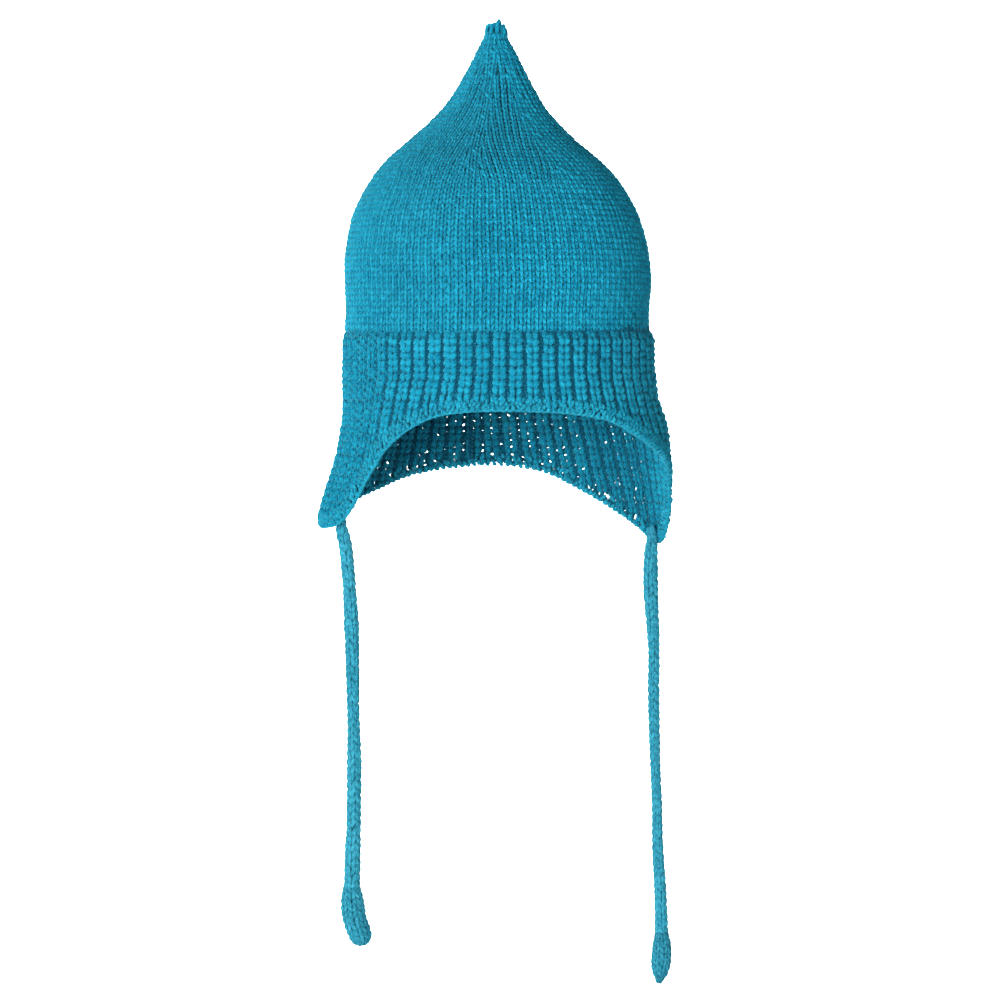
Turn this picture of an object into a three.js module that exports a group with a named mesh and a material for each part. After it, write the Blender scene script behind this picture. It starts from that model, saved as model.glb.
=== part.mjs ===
// A toddler's knitted pixie hat, in the form that it has on the head: an onion-shaped crown drawn up
// to a gathered tip, a ribbed band that drops into two ear flaps, a hem bound off along its lower
// edge, a seam down the middle of the back, and two knitted ties that end in knobs.
// Millimetres and degrees. +Z is up and the face looks along -Y. Left and right are the wearer's, so
// left is +X. The origin is the middle of the head opening, level with the front edge of the hem.
// An azimuth is 0 at the front and grows towards the left ear.
import * as THREE from "three";
import { ParametricGeometry } from "three/addons/geometries/ParametricGeometry.js";

// Driving dimensions
const yarnGap = 0.3;
const crownWall = 2.8;
const crownFoot = 40.1;
const bandTop = 39.8;
const bandRadius = 78.4;
const bandWall = 4.2;
const shoulderHeight = 5;
const shoulderInset = 1.6;
const bandTopInnerRadius = 73.6;
const ribCount = 60;
const ribDepth = 1.6;
const hemWidth = 5;
const hemInset = 0.9;
const hemWall = 3.2;
const hemRounding = 1.1;
const seamAzimuth = -178;
const seamTop = 33;
const seamWidth = 3.4;
const seamThickness = 1.8;
const tieDiameter = 6.2;
const tieSewnLength = 9;

// How finely the solids are faceted
const crownSides = 60;
const crownOuterRows = 18;
const crownInnerRows = 10;
const columnsPerRib = 3;
const tieSides = 8;
const tieSteps = 22;
const knobSides = 10;
const knobRows = 8;

// The crown's outline from its foot to its tip. Lean is how far a section's centre lies towards +X.
const crownSections = [
  { height: crownFoot, radius: 76.3, lean: -0.5 },
  { height: 51, radius: 76.1, lean: -0.3 },
  { height: 65, radius: 76.8, lean: 0 },
  { height: 77, radius: 76.3, lean: -0.5 },
  { height: 87, radius: 74.5, lean: -0.8 },
  { height: 97, radius: 71.7, lean: -1.2 },
  { height: 107, radius: 67, lean: -1.5 },
  { height: 117, radius: 60.5, lean: -2 },
  { height: 124.5, radius: 53.8, lean: -2.6 },
  { height: 132, radius: 45, lean: -3 },
  { height: 142, radius: 34, lean: -2.5 },
  { height: 149.5, radius: 26.9, lean: -2.1 },
  { height: 159.5, radius: 20.2, lean: -1.4 },
  { height: 169.5, radius: 14.7, lean: -1.1 },
  { height: 179.5, radius: 9.6, lean: -1.1 },
  { height: 188, radius: 5.9, lean: -1.3 },
];
const crownHollowTop = 176;
const hollowShare = 0.88;

// The little tuft where the last stitches are drawn together
const tipSections = [
  { height: 0, radius: 5.2 },
  { height: 2, radius: 4.9 },
  { height: 4, radius: 4 },
  { height: 5.8, radius: 2 },
];
const tipSides = 12;

// The lower edge of the hem, once round the head: high over the face, lower at the nape, and lowest
// at the two flaps.
const hemEdge = [
  { azimuth: -172, height: -31.3 },
  { azimuth: -153, height: -35 },
  { azimuth: -136, height: -42.2 },
  { azimuth: -116, height: -51.6 },
  { azimuth: -100, height: -58.2 },
  { azimuth: -86, height: -58 },
  { azimuth: -77, height: -55.4 },
  { azimuth: -72, height: -50.2 },
  { azimuth: -66, height: -37.4 },
  { azimuth: -57, height: -21.3 },
  { azimuth: -47, height: -11 },
  { azimuth: -34, height: -2.9 },
  { azimuth: -22, height: 0 },
  { azimuth: 10, height: 0 },
  { azimuth: 26, height: -2.1 },
  { azimuth: 37, height: -5 },
  { azimuth: 46, height: -10 },
  { azimuth: 62, height: -19.5 },
  { azimuth: 77, height: -29 },
  { azimuth: 86, height: -41 },
  { azimuth: 92, height: -57 },
  { azimuth: 97, height: -66.5 },
  { azimuth: 103, height: -67.5 },
  { azimuth: 110, height: -62 },
  { azimuth: 124, height: -51.5 },
  { azimuth: 139, height: -41.3 },
  { azimuth: 153, height: -33.8 },
  { azimuth: 170, height: -30.1 },
];

// How far each flap stands out from the head, by height. The reaches are the angles towards the face
// and the nape over which it falls back to the head.
const rightFlap = {
  azimuth: -100,
  frontReach: 60,
  backReach: 60,
  flare: [
    { height: -58, out: 12.2 },
    { height: -52, out: 12.2 },
    { height: -43, out: 9.8 },
    { height: -33, out: 6.6 },
    { height: -23, out: 3.6 },
    { height: -13, out: 1.6 },
    { height: -5, out: 0.4 },
    { height: 8, out: 0 },
  ],
};
const leftFlap = {
  azimuth: 90,
  frontReach: 75,
  backReach: 55,
  flare: [
    { height: -66, out: 11 },
    { height: -50, out: 11 },
    { height: -38, out: 10.2 },
    { height: -18, out: 8.7 },
    { height: -10, out: 7.7 },
    { height: -3, out: 5.7 },
    { height: 4, out: 3.2 },
    { height: 12, out: 1.7 },
    { height: 30, out: 0.4 },
  ],
};

// The ribs run straight down from the crown, and below this height they are drawn towards the flaps.
const ribTurnHeight = 18;
const ribTurnPerMm = 0.19;

// The ties hang from the inside of the flaps. Drop is measured down from the flap's lowest stitch,
// aside is towards +X and forward towards the face.
const rightTie = {
  azimuth: -84,
  route: [
    { drop: 8, aside: 1.8, forward: 0 },
    { drop: 25, aside: 3.5, forward: 0.6 },
    { drop: 50, aside: 4.9, forward: 1 },
    { drop: 82, aside: 5.6, forward: 0.4 },
    { drop: 115, aside: 6.3, forward: -0.6 },
    { drop: 147, aside: 6, forward: -0.4 },
    { drop: 164, aside: 5.4, forward: 0 },
    { drop: 179, aside: 5, forward: 0.3 },
  ],
  knob: [
    { drop: 179, aside: 5, radius: 3.4 },
    { drop: 184, aside: 5.1, radius: 5.1 },
    { drop: 190, aside: 5.6, radius: 5.7 },
    { drop: 197, aside: 7, radius: 5.7 },
    { drop: 202, aside: 8.8, radius: 5.3 },
    { drop: 205.5, aside: 9.6, radius: 4 },
    { drop: 207, aside: 9.9, radius: 1.5 },
  ],
};
const leftTie = {
  azimuth: 98,
  route: [
    { drop: 8, aside: -0.4, forward: 0 },
    { drop: 22, aside: -0.5, forward: 0.4 },
    { drop: 55, aside: 1.1, forward: 0.8 },
    { drop: 76, aside: 1.1, forward: 0.4 },
    { drop: 109, aside: 2, forward: -0.4 },
    { drop: 134, aside: 3, forward: -0.2 },
    { drop: 155, aside: 3.4, forward: 0 },
    { drop: 175, aside: 4.6, forward: 0.2 },
    { drop: 198, aside: 5.4, forward: 0.2 },
  ],
  knob: [
    { drop: 198, aside: 5.4, radius: 3.1 },
    { drop: 203, aside: 5.6, radius: 4 },
    { drop: 210, aside: 5.4, radius: 4.7 },
    { drop: 215, aside: 5, radius: 4.5 },
    { drop: 219.5, aside: 4.7, radius: 3.3 },
    { drop: 223.8, aside: 4, radius: 1.2 },
  ],
};

const yarn = { color: "#168fb0", roughness: 0.92, metalness: 0 };
const halfTurn = 180;
const fullTurn = 360;
const radians = THREE.MathUtils.degToRad;

// A smooth function through a table's rows: the named column, read by the key column.
function through(rows, key, column) {
  const keys = rows.map((row) => row[key]);
  const values = rows.map((row) => row[column]);
  const curve = new THREE.CubicInterpolant(keys, values, 1);
  return (at) => curve.evaluate(THREE.MathUtils.clamp(at, keys[0], keys.at(-1)))[0];
}

// The same for a table that closes on itself after a full turn.
function aroundHead(rows, column) {
  const turned = (row, by) => ({ ...row, azimuth: row.azimuth + by });
  const before = rows.slice(-3).map((row) => turned(row, -fullTurn));
  const after = rows.slice(0, 3).map((row) => turned(row, fullTurn));
  const curve = through([...before, ...rows, ...after], "azimuth", column);
  return (azimuth) => curve(THREE.MathUtils.euclideanModulo(azimuth + halfTurn, fullTurn) - halfTurn);
}

const edgeHeight = aroundHead(hemEdge, "height");
const rightFlare = through(rightFlap.flare, "height", "out");
const leftFlare = through(leftFlap.flare, "height", "out");

// 1 at a flap's middle, falling to 0 at its reach on either side.
function flapShare(flap, azimuth) {
  const away = THREE.MathUtils.euclideanModulo(azimuth - flap.azimuth + halfTurn, fullTurn) - halfTurn;
  const towardsFace = Math.sign(away) === -Math.sign(flap.azimuth);
  const reach = towardsFace ? flap.frontReach : flap.backReach;
  return Math.cos((Math.min(Math.abs(away) / reach, 1) * Math.PI) / 2) ** 2;
}

// The radius of the band's outer face, at the crests of its ribs.
function bandFace(azimuth, height) {
  const right = rightFlare(height) * flapShare(rightFlap, azimuth);
  const left = leftFlare(height) * flapShare(leftFlap, azimuth);
  return bandRadius + right + left;
}

// A rib that starts at this azimuth under the crown has moved to the one returned at this height.
function ribAzimuth(start, height) {
  const turn = ribTurnPerMm * Math.max(0, ribTurnHeight - height);
  return start + turn * Math.sin(2 * radians(start));
}

// How much taller than it is wide an edging stands, because the hem's edge slopes.
function edgeSlant(azimuth) {
  const step = 3;
  const rise = edgeHeight(azimuth + step) - edgeHeight(azimuth - step);
  return Math.hypot(1, rise / (2 * radians(step) * bandRadius));
}

const hemTop = (azimuth) => edgeHeight(azimuth) + hemWidth * edgeSlant(azimuth);
const bandFoot = (azimuth) => hemTop(azimuth) + yarnGap * edgeSlant(azimuth);

// Where the rib that starts at this azimuth ends, down at the hem.
function ribFoot(start) {
  let foot = bandFoot(start);
  for (let tries = 0; tries < 30; tries += 1) {
    foot = (foot + bandFoot(ribAzimuth(start, foot))) / 2;
  }
  return { azimuth: ribAzimuth(start, foot), height: foot };
}

function place(target, azimuth, radius, height) {
  const angle = radians(azimuth);
  return target.set(radius * Math.sin(angle), -radius * Math.cos(angle), height);
}

// A closed ring round the head. section(azimuth) lists the wall's corners, top outer corner first
// and then down the outside and up the inside, each with an azimuth, radius and height.
function headRing(columns, corners, section) {
  const sections = Array.from({ length: columns }, (_, i) => section((i * fullTurn) / columns, i));
  const surface = (u, v, target) => {
    const column = Math.round((1 - u) * columns) % columns;
    const corner = sections[column][Math.round(v * corners) % corners];
    place(target, corner.azimuth, corner.radius, corner.height);
  };
  return new ParametricGeometry(surface, columns, corners);
}

// A closed solid of round sections along a line: rows of centre and radius, narrowing to its ends.
function clubAlong(centreAt, radiusAt, sides, rows) {
  const surface = (u, v, target) => {
    const row = Math.round(v * (rows + 2));
    const along = THREE.MathUtils.clamp((row - 1) / rows, 0, 1);
    const closing = row === 0 || row === rows + 2;
    const radius = closing ? 0 : radiusAt(along);
    const angle = (Math.round(u * sides) % sides) * ((2 * Math.PI) / sides);
    const centre = centreAt(along);
    target.set(centre.x - radius * Math.cos(angle), centre.y + radius * Math.sin(angle), centre.z);
  };
  return new ParametricGeometry(surface, sides, rows + 2);
}

function piece(name, geometry) {
  const mesh = new THREE.Mesh(geometry, new THREE.MeshStandardMaterial(yarn));
  mesh.name = name;
  return mesh;
}

// Crown: a turned wall whose sections lean a little. Its hollow follows all but the tip's outline.
function crownGeometry() {
  const outline = crownSections.map(({ height, radius }) => new THREE.Vector2(radius, height));
  const outer = new THREE.SplineCurve(outline);
  const outside = outer.getPoints(crownOuterRows);
  const inside = [];
  for (let i = 0; i <= crownInnerRows; i += 1) {
    const at = (i / crownInnerRows) * hollowShare;
    const inwards = outer.getTangent(at).rotateAround(new THREE.Vector2(), Math.PI / 2);
    inside.push(outer.getPoint(at).addScaledVector(inwards, crownWall));
  }
  inside[0].y = crownFoot;
  const top = crownSections.at(-1).height;
  const profile = [
    new THREE.Vector2(0, crownHollowTop),
    ...inside.reverse(),
    ...outside,
    new THREE.Vector2(0, top),
  ];
  const geometry = new THREE.LatheGeometry(profile, crownSides).rotateX(Math.PI / 2);
  const lean = through(crownSections, "height", "lean");
  const points = geometry.getAttribute("position");
  for (let i = 0; i < points.count; i += 1) {
    points.setX(i, points.getX(i) + lean(points.getZ(i)));
  }
  return geometry;
}

// Gathered tip: a tuft that sits on the crown's closed top.
function tipGeometry() {
  const top = crownSections.at(-1);
  const profile = [
    new THREE.Vector2(0, 0),
    ...tipSections.map(({ height, radius }) => new THREE.Vector2(radius, height)),
    new THREE.Vector2(0, tipSections.at(-1).height),
  ];
  const geometry = new THREE.LatheGeometry(profile, tipSides).rotateX(Math.PI / 2);
  return geometry.translate(top.lean, 0, top.height + yarnGap);
}

// Band: ribs stand out from a wall that rounds in under the crown, and fade towards the hem.
function bandGeometry() {
  const shoulderRows = [
    { share: 0, inset: shoulderInset, relief: 0.25 },
    { share: 0.36, inset: shoulderInset / 2, relief: 0.7 },
    { share: 1, inset: 0, relief: 1 },
  ];
  const outerShares = [0.16, 0.34, 0.52, 0.7, 0.88, 1];
  const innerShares = [1, 0.66, 0.33, 0];
  const ribFade = 0.7;
  const shoulder = bandTop - shoulderHeight;
  const section = (start, column) => {
    const crest = column % columnsPerRib !== 0;
    const foot = ribFoot(start).height;
    const at = (height, inset, relief) => {
      const azimuth = ribAzimuth(start, height);
      const valley = crest ? 0 : ribDepth * relief;
      return { azimuth, height, radius: bandFace(azimuth, height) - inset - valley };
    };
    const down = (share) => THREE.MathUtils.lerp(shoulder, foot, share);
    return [
      ...shoulderRows.map((row) => at(bandTop - row.share * shoulderHeight, row.inset, row.relief)),
      ...outerShares.map((share) => at(down(share), 0, 1 - ribFade * share)),
      ...innerShares.map((share) => at(down(share), bandWall, 0)),
      at(bandTop, bandRadius - bandTopInnerRadius, 0),
    ];
  };
  const corners = shoulderRows.length + outerShares.length + innerShares.length + 1;
  return headRing(ribCount * columnsPerRib, corners, section);
}

// Hem: a bound-off edge that follows the band's foot all the way round.
function hemGeometry() {
  const section = (start) => {
    const { azimuth } = ribFoot(start);
    const low = edgeHeight(azimuth);
    const high = hemTop(azimuth);
    const at = (height, inset) => {
      return { azimuth, height, radius: bandFace(azimuth, height) - hemInset - inset };
    };
    return [
      at(high, 0),
      at(low + hemRounding, 0),
      at(low, hemWall / 2),
      at(low + hemRounding, hemWall),
      at(high, hemWall),
    ];
  };
  const corners = 5;
  return headRing(ribCount * columnsPerRib, corners, section);
}

// Back seam: the ridge where the knitting's two sides are sewn together, inside the band.
function seamGeometry() {
  const middle = (height) => bandFace(seamAzimuth, height) - bandWall - yarnGap - seamThickness / 2;
  const foot = bandFoot(seamAzimuth);
  const steps = 8;
  const points = [];
  for (let i = 0; i <= steps; i += 1) {
    const height = THREE.MathUtils.lerp(seamTop, foot, i / steps);
    points.push(place(new THREE.Vector3(), seamAzimuth, middle(height), height));
  }
  const ridge = new THREE.Shape();
  ridge.absellipse(0, 0, seamThickness / 2, seamWidth / 2, 0, 2 * Math.PI);
  const route = new THREE.CatmullRomCurve3(points);
  return new THREE.ExtrudeGeometry(ridge, { steps, curveSegments: 4, extrudePath: route });
}

// The radius at which a tie hangs, touching the inside of its flap where it is sewn on.
function tieHang(tie) {
  const sewn = edgeHeight(tie.azimuth) + tieSewnLength;
  return bandFace(tie.azimuth, sewn) - bandWall - yarnGap - tieDiameter / 2;
}

function tiePoint(tie, { drop, aside = 0, forward = 0 }) {
  const point = place(new THREE.Vector3(), tie.azimuth, tieHang(tie), edgeHeight(tie.azimuth) - drop);
  return point.add(new THREE.Vector3(aside, -forward, 0));
}

// Tie: a round cord from inside the flap to its knob.
function tieGeometry(tie) {
  const route = [{ drop: -tieSewnLength }, { drop: -tieSewnLength / 2 }, { drop: 0 }, ...tie.route];
  const curve = new THREE.CatmullRomCurve3(route.map((stop) => tiePoint(tie, stop)));
  const section = new THREE.Shape();
  for (let side = 0; side < tieSides; side += 1) {
    const angle = (2 * Math.PI * (side + 0.5)) / tieSides;
    const corner = [Math.cos(angle), Math.sin(angle)].map((share) => (share * tieDiameter) / 2);
    if (side === 0) section.moveTo(...corner);
    else section.lineTo(...corner);
  }
  return new THREE.ExtrudeGeometry(section, { steps: tieSteps, extrudePath: curve });
}

// Knob: the wider knitted end of a tie.
function knobGeometry(tie) {
  const lowered = tie.knob.map((stop) => tiePoint(tie, { ...stop, drop: stop.drop + yarnGap }));
  const line = new THREE.CatmullRomCurve3(lowered);
  const last = tie.knob.length - 1;
  const rows = tie.knob.map(({ radius }, i) => ({ along: i / last, radius }));
  const radiusAt = through(rows, "along", "radius");
  return clubAlong((along) => line.getPoint(along), radiusAt, knobSides, knobRows);
}

const hat = new THREE.Group();
hat.add(piece("crown", crownGeometry()));
hat.add(piece("tip_gather", tipGeometry()));
hat.add(piece("band", bandGeometry()));
hat.add(piece("hem", hemGeometry()));
hat.add(piece("back_seam", seamGeometry()));
hat.add(piece("left_tie", tieGeometry(leftTie)));
hat.add(piece("left_tie_knob", knobGeometry(leftTie)));
hat.add(piece("right_tie", tieGeometry(rightTie)));
hat.add(piece("right_tie_knob", knobGeometry(rightTie)));

export default hat;
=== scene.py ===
"""A toddler's knitted pixie hat, stitch by stitch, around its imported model.

The hat stands as it is worn: +Z up, the face looks along -Y, +X is the wearer's left. An azimuth is 0
at the face and grows towards the wearer's left ear. Tables are in millimetres and degrees, and a mesh
is made in metres.
"""

import math

import bmesh
import bpy
import numpy as np
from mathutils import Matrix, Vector


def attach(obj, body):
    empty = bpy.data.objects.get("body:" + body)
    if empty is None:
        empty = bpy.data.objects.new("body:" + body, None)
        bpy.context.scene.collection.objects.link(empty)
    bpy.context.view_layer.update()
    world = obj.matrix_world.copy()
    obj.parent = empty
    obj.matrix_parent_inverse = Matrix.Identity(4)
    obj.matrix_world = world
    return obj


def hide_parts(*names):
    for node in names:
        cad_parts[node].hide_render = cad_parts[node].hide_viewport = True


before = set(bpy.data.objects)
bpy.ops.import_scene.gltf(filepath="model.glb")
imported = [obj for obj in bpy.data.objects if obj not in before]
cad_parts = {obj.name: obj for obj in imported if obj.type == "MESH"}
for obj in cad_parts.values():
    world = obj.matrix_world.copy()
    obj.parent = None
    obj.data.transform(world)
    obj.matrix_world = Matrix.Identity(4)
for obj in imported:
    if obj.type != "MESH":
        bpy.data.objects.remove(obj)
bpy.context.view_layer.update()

MM = 0.001
draws = np.random.default_rng(7)


def jitter(shape, spread):
    """Random values about nought, spread in all."""
    return spread * (draws.random(shape) - 0.5)


def linked(name, data):
    thing = bpy.data.objects.new(name, data)
    bpy.context.scene.collection.objects.link(thing)
    return thing


# Camera

CAMERA_AZIMUTH = -9
CAMERA_DISTANCE = 2200
CAMERA_HEIGHT = 39.5
AIM_HEIGHT = -45
AIM_ASIDE = 1.0
LENS = 158.3
SENSOR_WIDTH = 36
NEAREST_SEEN = 0.05
FURTHEST_SEEN = 60


def make_camera():
    turn = math.radians(CAMERA_AZIMUTH)
    away = Vector((math.sin(turn), -math.cos(turn), 0))
    aside = Vector((math.cos(turn), math.sin(turn), 0))
    aim = Vector((0, 0, AIM_HEIGHT)) + aside * AIM_ASIDE
    spot = away * CAMERA_DISTANCE + Vector((0, 0, CAMERA_HEIGHT)) + aside * AIM_ASIDE
    data = bpy.data.cameras.new("camera")
    data.lens = LENS
    data.sensor_width = SENSOR_WIDTH
    data.clip_start = NEAREST_SEEN
    data.clip_end = FURTHEST_SEEN
    camera = linked("camera", data)
    camera.location = spot * MM
    camera.rotation_euler = (aim - spot).to_track_quat("-Z", "Y").to_euler()
    bpy.context.scene.camera = camera


make_camera()


# Smooth tables


def eased(t, gap, first, last, first_slope, last_slope):
    """A cubic from first to last over the gap, where t runs from nought to one."""
    low = (2 * t**3 - 3 * t**2 + 1) * first + (t**3 - 2 * t**2 + t) * gap * first_slope
    high = (3 * t**2 - 2 * t**3) * last + (t**3 - t**2) * gap * last_slope
    return low + high


def through(keys, values):
    """A smooth curve through a table. Beyond its ends the value stays."""
    keys = np.array(keys, float)
    values = np.array(values, float)
    rise = np.diff(values) / np.diff(keys)
    slope = np.concatenate([[0], (rise[1:] + rise[:-1]) / 2, [0]])

    def at(where):
        where = np.clip(where, keys[0], keys[-1])
        i = np.clip(np.searchsorted(keys, where, side="right") - 1, 0, len(keys) - 2)
        gap = keys[i + 1] - keys[i]
        return eased((where - keys[i]) / gap, gap, values[i], values[i + 1], slope[i], slope[i + 1])

    return at


def wrapped(azimuth):
    return (np.asarray(azimuth, float) + 180) % 360 - 180


def around(azimuth):
    """The outward direction at an azimuth."""
    turn = np.radians(azimuth)
    return np.stack([np.sin(turn), -np.cos(turn), np.zeros_like(turn)], -1)


def place(azimuth, radius, height):
    turn = np.radians(azimuth)
    radius, height = np.broadcast_arrays(radius, height)
    return np.stack([radius * np.sin(turn), -radius * np.cos(turn), height + 0 * turn], -1)


# The hat's own form, as its solids have it

CROWN_FOOT = 40.1
CROWN_TOP = 188
CROWN_WALL = 2.8
CROWN = [  # height, radius, how far the section's centre lies towards +X
    (40.1, 76.3, -0.5), (51, 76.1, -0.3), (65, 76.8, 0), (77, 76.3, -0.5), (87, 74.5, -0.8),
    (97, 71.7, -1.2), (107, 67, -1.5), (117, 60.5, -2), (124.5, 53.8, -2.6), (132, 45, -3),
    (142, 34, -2.5), (149.5, 26.9, -2.1), (159.5, 20.2, -1.4), (169.5, 14.7, -1.1),
    (179.5, 9.6, -1.1), (188, 5.9, -1.3),
]
BAND_TOP = 39.8
BAND_RADIUS = 78.4
BAND_WALL = 4.2
SHOULDER = [(-0.1, 1.6), (1.8, 0.8), (5, 0), (9, 0)]  # below the band's top, how far it rounds in
HEM_WIDTH = 5
HEM_INSET = 0.9
HEM_WALL = 3.2
YARN_GAP = 0.3
RIB_TURN_HEIGHT = 18
RIB_TURN_PER_MM = 0.19
HEM_EDGE = [  # azimuth, height
    (-172, -31.3), (-153, -35), (-136, -42.2), (-116, -51.6), (-100, -58.2), (-86, -58),
    (-77, -55.4), (-72, -50.2), (-66, -37.4), (-57, -21.3), (-47, -11), (-34, -2.9), (-22, 0),
    (10, 0), (26, -2.1), (37, -5), (46, -10), (62, -19.5), (77, -29), (86, -41), (92, -57),
    (97, -66.5), (103, -67.5), (110, -62), (124, -51.5), (139, -41.3), (153, -33.8), (170, -30.1),
]
RIGHT_FLARE = [  # height, how far the flap stands out there
    (-58, 12.2), (-52, 12.2), (-43, 9.8), (-33, 6.6), (-23, 3.6), (-13, 1.6), (-5, 0.4), (8, 0),
]
LEFT_FLARE = [
    (-66, 11), (-50, 11), (-38, 10.2), (-18, 8.7), (-10, 7.7), (-3, 5.7), (4, 3.2), (12, 1.7),
    (30, 0.4),
]
RIGHT_FLAP = (-100, 60, 60)  # its middle, and how far it reaches to the face and to the nape
LEFT_FLAP = (90, 75, 55)
SLOPE_STEP = 3

crown_radius = through([row[0] for row in CROWN], [row[1] for row in CROWN])
crown_lean = through([row[0] for row in CROWN], [row[2] for row in CROWN])
turned_edge = [(azimuth + by, height) for by in (-360, 0, 360) for azimuth, height in HEM_EDGE]
edge_curve = through(*zip(*turned_edge))
right_flare = through(*zip(*RIGHT_FLARE))
left_flare = through(*zip(*LEFT_FLARE))
shoulder_inset = through(*zip(*SHOULDER))


def edge_height(azimuth):
    return edge_curve(wrapped(azimuth))


def flap_share(azimuth, middle, reach_to_face, reach_to_nape):
    """One at a flap's middle, falling to none at its reach on either side."""
    away = wrapped(azimuth - middle)
    to_face = np.sign(away) == -np.sign(middle)
    reach = np.where(to_face, reach_to_face, reach_to_nape)
    return np.cos(np.minimum(np.abs(away) / reach, 1) * np.pi / 2) ** 2


def band_face(azimuth, height):
    """The radius of the band's outer face."""
    right = right_flare(height) * flap_share(azimuth, *RIGHT_FLAP)
    left = left_flare(height) * flap_share(azimuth, *LEFT_FLAP)
    return BAND_RADIUS + right + left


def rib_azimuth(start, height):
    """Where a rib has come to at this height. Low down, the ribs are drawn towards the flaps."""
    turn = RIB_TURN_PER_MM * np.maximum(0, RIB_TURN_HEIGHT - height)
    return start + turn * np.sin(2 * np.radians(start))


def edge_slant(azimuth):
    """How much taller than it is wide an edging stands, because the hem's edge slopes."""
    rise = edge_height(azimuth + SLOPE_STEP) - edge_height(azimuth - SLOPE_STEP)
    return np.hypot(1, rise / (2 * math.radians(SLOPE_STEP) * BAND_RADIUS))


def hem_top(azimuth):
    return edge_height(azimuth) + HEM_WIDTH * edge_slant(azimuth)


def rib_foot(start):
    """The height at which the rib that starts at this azimuth ends, down at the hem."""
    foot = hem_top(start)
    for _ in range(30):
        foot = (foot + hem_top(rib_azimuth(start, foot))) / 2
    return foot


# Strands of yarn

ROOT_SHADE = 0.10  # how much painted light a strand keeps where it sinks into the cloth; the rest is painted shade


def unit(vectors):
    return vectors / np.maximum(np.linalg.norm(vectors, axis=-1, keepdims=True), 1e-9)


class Strands:
    """Gathers short strands of yarn, given in millimetres, into one mesh."""

    def __init__(self):
        self.points, self.corners, self.sizes = [], [], []
        self.wrap, self.tone, self.crest = [], [], []
        self.count = 0

    def add(self, lines, out, wide, thick, sides=5, tone=None, crest=1.0, root=ROOT_SHADE):
        """lines and out are (strands, stations, 3): the middle of each strand and its outward side.
        wide and thick are half sizes across the cloth and through it. tone is how light the yarn is.
        Then comes how lit each station is painted, its painted light, and root, how much of that
        its sunken side keeps; where it is low, the yarn is painted in shade."""
        strands, stations = lines.shape[:2]
        wide = np.broadcast_to(wide, (strands, stations))[..., None, None]
        thick = np.broadcast_to(thick, (strands, stations))[..., None, None]
        along = np.empty_like(lines)
        along[:, 1:-1] = lines[:, 2:] - lines[:, :-2]
        along[:, 0] = lines[:, 1] - lines[:, 0]
        along[:, -1] = lines[:, -1] - lines[:, -2]
        along = unit(along)
        up = unit(out - along * np.sum(out * along, -1, keepdims=True))
        across = np.cross(along, up)
        turn = 0.5 * np.pi + np.arange(sides) / sides * 2 * np.pi
        cosine, sine = np.cos(turn)[:, None], np.sin(turn)[:, None]
        ring = lines[:, :, None] + wide * cosine * across[:, :, None] + thick * sine * up[:, :, None]
        first = self.count + np.arange(strands)[:, None, None] * stations * sides
        row = first + np.arange(stations - 1)[:, None] * sides
        side = np.arange(sides)
        following = (side + 1) % sides
        quads = np.stack([row + side, row + side + sides, row + following + sides, row + following], -1)
        starts = first[:, :, 0] + side
        ends = first[:, :, 0] + (stations - 1) * sides + side[::-1]
        steps = np.linalg.norm(np.diff(lines, axis=1), axis=-1)
        reach = np.concatenate([np.zeros((strands, 1)), np.cumsum(steps, 1)], 1)
        low, high = reach[:, :-1, None], reach[:, 1:, None]
        left, right = side / sides, (side + 1) / sides
        around_quad = ((left, low), (left, high), (right, high), (right, low))
        flat = np.zeros((strands, stations - 1, sides))
        quad_wrap = [np.stack(np.broadcast_arrays(u, v + flat), -1) for u, v in around_quad]
        flat = np.zeros((strands, sides))
        cap_wrap = np.stack(np.broadcast_arrays(left, flat), -1)
        tail_wrap = np.stack(np.broadcast_arrays(left[::-1], reach[:, -1:] + flat), -1)
        self.points.append(ring.reshape(-1, 3))
        self.corners += [quads.reshape(-1), starts.reshape(-1), ends.reshape(-1)]
        self.sizes += [np.full(quads.size // 4, 4), np.full(2 * strands, sides)]
        self.wrap += [np.stack(quad_wrap, -2).reshape(-1, 2)]
        self.wrap += [cap_wrap.reshape(-1, 2), tail_wrap.reshape(-1, 2)]
        if tone is None:
            tone = draws.random(strands)
        self.tone.append(np.repeat(tone, stations * sides))
        crest = np.broadcast_to(crest, (strands, stations))[..., None]
        root = np.broadcast_to(root, (strands, stations))[..., None]
        # Painted light round each strand: its outward side is painted lit and its sunken side in shade.
        lit = root + (1 - root) * np.clip(0.6 + 0.55 * np.sin(turn), 0, 1)
        self.crest.append((crest * lit).reshape(-1))
        self.count += strands * stations * sides

    def make(self, name, material):
        points = np.concatenate(self.points) * MM
        corners = np.concatenate(self.corners)
        sizes = np.concatenate(self.sizes)
        mesh = bpy.data.meshes.new(name)
        mesh.vertices.add(len(points))
        mesh.vertices.foreach_set("co", points.reshape(-1).astype(np.float32))
        mesh.loops.add(len(corners))
        mesh.loops.foreach_set("vertex_index", corners.astype(np.int32))
        mesh.polygons.add(len(sizes))
        starts = np.concatenate([[0], np.cumsum(sizes)[:-1]])
        mesh.polygons.foreach_set("loop_start", starts.astype(np.int32))
        mesh.update(calc_edges=True)
        mesh.shade_smooth()
        wrap = mesh.uv_layers.new(name="yarn")
        wrap.data.foreach_set("uv", np.concatenate(self.wrap).reshape(-1).astype(np.float32))
        for label, values in (("tone", self.tone), ("crest", self.crest)):
            layer = mesh.attributes.new(label, "FLOAT", "POINT")
            layer.data.foreach_set("value", np.concatenate(values).astype(np.float32))
        mesh.materials.append(material)
        return linked(name, mesh)


def dress(thing, slot, *nodes):
    """Lets a piece ride on the hat, in the place of its nodes. Its slot, for a finish, is not used."""
    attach(thing, "root")
    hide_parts(*nodes)
    return thing


# Yarn materials

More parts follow.
